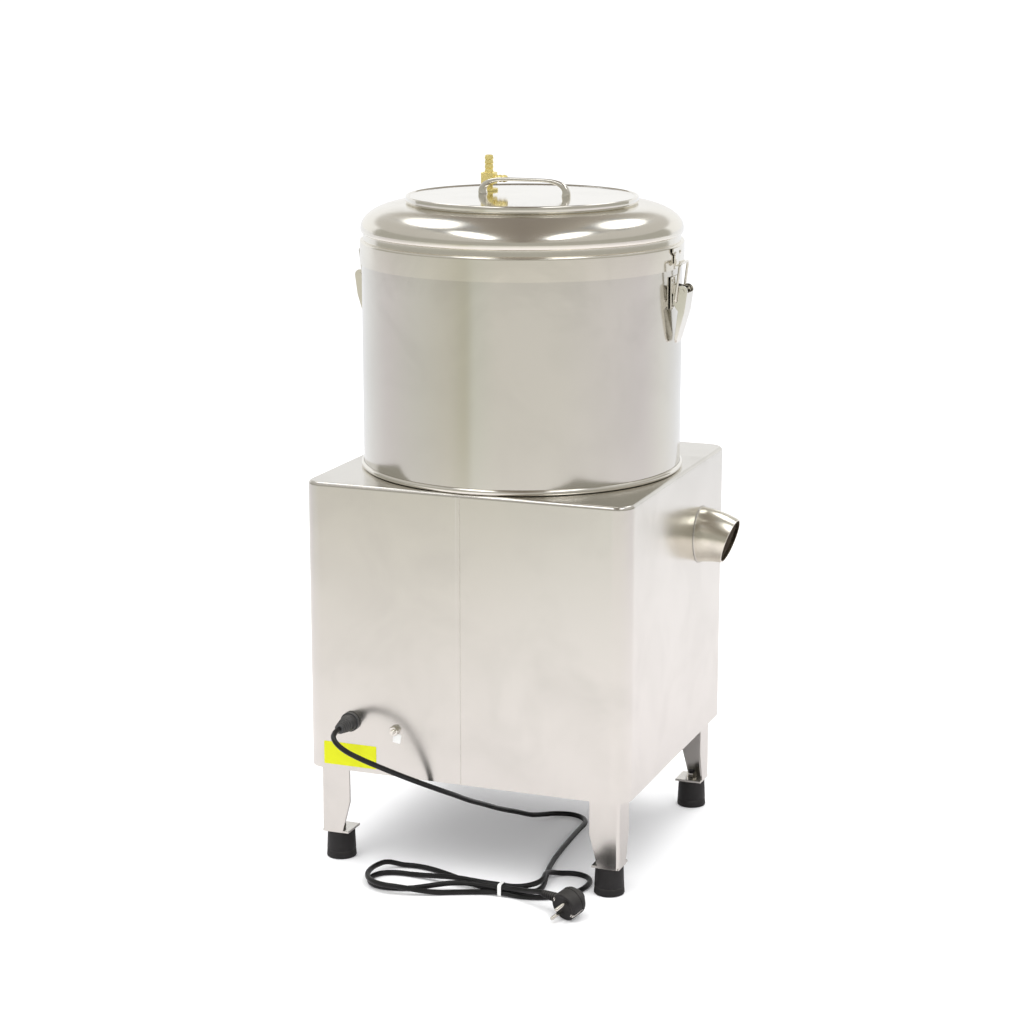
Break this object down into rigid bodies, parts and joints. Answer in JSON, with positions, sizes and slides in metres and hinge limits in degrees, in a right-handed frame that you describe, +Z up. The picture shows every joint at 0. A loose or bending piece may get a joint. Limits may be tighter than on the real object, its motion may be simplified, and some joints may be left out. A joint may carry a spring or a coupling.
{
  "type": "electric potato peeler",
  "caption": "Floor-standing electric potato peeler: latched steel drum over a belt-driven cabinet, with lift-off lid, abrasive turntable, discharge door, waste spout and tied supply cord.",
  "frame": {"origin": "on the floor, under the middle of the machine's own footprint, the free cord left out", "axes": "+Z up, +Y towards the back where the cord leaves, -Y towards the discharge door and controls, -X towards the waste spout"},
  "size_m": [0.5112, 0.6108, 0.9276],
  "materials": {
    "satin_steel": "satin",
    "polished_steel": "polished",
    "galvanised_steel": "matte",
    "cast_aluminium": "cast",
    "motor_iron": "painted matte",
    "brass": "polished",
    "grit": "coarse abrasive",
    "black_rubber": "matte",
    "cord_rubber": "glossy",
    "black_plastic": "matte",
    "green_plastic": "glossy",
    "red_plastic": "glossy",
    "white_plastic": "matte"
  },
  "bodies": {
    "machine": {"cabinet_shell": "satin_steel", "base_frame": "galvanised_steel", "leg_rear_left": "satin_steel", "leg_rear_right": "satin_steel", "leg_front_right": "satin_steel", "leg_front_left": "satin_steel", "rubber_foot_rear_left": "black_rubber", "rubber_foot_rear_right": "black_rubber", "rubber_foot_front_right": "black_rubber", "rubber_foot_front_left": "black_rubber", "drum_wall": "satin_steel", "drum_base_ring": "polished_steel", "sump": "satin_steel", "drain_spout": "satin_steel", "bearing_housing": "cast_aluminium", "bearing_upper": "polished_steel", "bearing_lower": "polished_steel", "shaft_seal": "black_rubber", "v_belt": "black_rubber", "motor_bracket": "galvanised_steel", "motor_body": "motor_iron", "discharge_frame": "cast_aluminium", "door_gasket": "black_rubber", "door_hinge_pin": "polished_steel", "control_box": "black_plastic", "cable_gland": "black_plastic", "ground_terminal": "polished_steel", "latch_base_left": "polished_steel", "latch_base_right": "polished_steel", "latch_pin_left": "polished_steel", "latch_pin_right": "polished_steel", "cord_lead": "cord_rubber", "cord_hank": "cord_rubber", "cord_tail": "cord_rubber", "cord_tie": "white_plastic", "plug_body": "cord_rubber"},
    "lid": {"lid_shell": "polished_steel", "lid_gasket": "black_rubber", "lid_handle": "polished_steel", "inlet_elbow": "brass", "inlet_nut": "brass", "spray_nozzle": "brass", "latch_hook_left": "polished_steel", "latch_hook_right": "polished_steel"},
    "left_lever": {"latch_lever_left": "polished_steel"},
    "left_bail": {"latch_bail_left": "polished_steel"},
    "right_lever": {"latch_lever_right": "polished_steel"},
    "right_bail": {"latch_bail_right": "polished_steel"},
    "turntable": {"abrasive_disc": "grit", "disc_nut": "polished_steel", "drive_shaft": "polished_steel", "large_pulley": "cast_aluminium"},
    "rotor": {"motor_shaft": "polished_steel", "motor_pulley": "cast_aluminium"},
    "door": {"discharge_door": "cast_aluminium"},
    "door_handle": {"door_lever": "cast_aluminium"},
    "start": {"start_button": "green_plastic"},
    "stop": {"stop_button": "red_plastic"},
    "timer": {"timer_knob": "black_plastic"}
  },
  "joints": [
    {"name": "lid_lift", "type": "slide", "parent": "machine", "child": "lid", "axis": [0, 0, 1], "range_m": [0, 0.16]},
    {"name": "left_latch", "type": "hinge", "parent": "machine", "child": "left_lever", "pos_m": [0.2481, 0.02365, 0.77], "axis": [0, -1, 0], "range_deg": [0, 125]},
    {"name": "left_bail_swing", "type": "hinge", "parent": "left_lever", "child": "left_bail", "pos_m": [0.2403, 0.02365, 0.757], "axis": [0, -1, 0], "range_deg": [-125, 0]},
    {"name": "right_latch", "type": "hinge", "parent": "machine", "child": "right_lever", "pos_m": [-0.2079, 0.02365, 0.77], "axis": [0, 1, 0], "range_deg": [0, 125]},
    {"name": "right_bail_swing", "type": "hinge", "parent": "right_lever", "child": "right_bail", "pos_m": [-0.2001, 0.02365, 0.757], "axis": [0, 1, 0], "range_deg": [-125, 0]},
    {"name": "turntable_spin", "type": "hinge", "parent": "machine", "child": "turntable", "pos_m": [0.0201, 0.01865, 0.542], "axis": [0, 0, 1], "continuous": true},
    {"name": "motor_spin", "type": "hinge", "parent": "machine", "child": "rotor", "pos_m": [0.0201, 0.15565, 0.349], "axis": [0, 0, 1], "continuous": true},
    {"name": "door_swing", "type": "hinge", "parent": "machine", "child": "door", "pos_m": [0.1138, -0.25235, 0.639], "axis": [0, 0, 1], "range_deg": [0, 110]},
    {"name": "door_handle_turn", "type": "hinge", "parent": "door", "child": "door_handle", "pos_m": [-0.0469, -0.26365, 0.639], "axis": [0, -1, 0], "range_deg": [0, 90]},
    {"name": "start_press", "type": "slide", "parent": "machine", "child": "start", "axis": [0, 1, 0], "range_m": [0, 0.004], "stiffness_N_per_m": 300},
    {"name": "stop_press", "type": "slide", "parent": "machine", "child": "stop", "axis": [0, 1, 0], "range_m": [0, 0.004], "stiffness_N_per_m": 300},
    {"name": "timer_turn", "type": "hinge", "parent": "machine", "child": "timer", "pos_m": [0.1781, -0.22365, 0.424], "axis": [0, 1, 0], "range_deg": [0, 300]}
  ],
  "couplings": [
    {"joint": "left_bail_swing", "follows": "left_latch", "ratio": -1},
    {"joint": "right_bail_swing", "follows": "right_latch", "ratio": -1},
    {"joint": "motor_spin", "follows": "turntable_spin", "ratio": 3.1667}
  ]
}
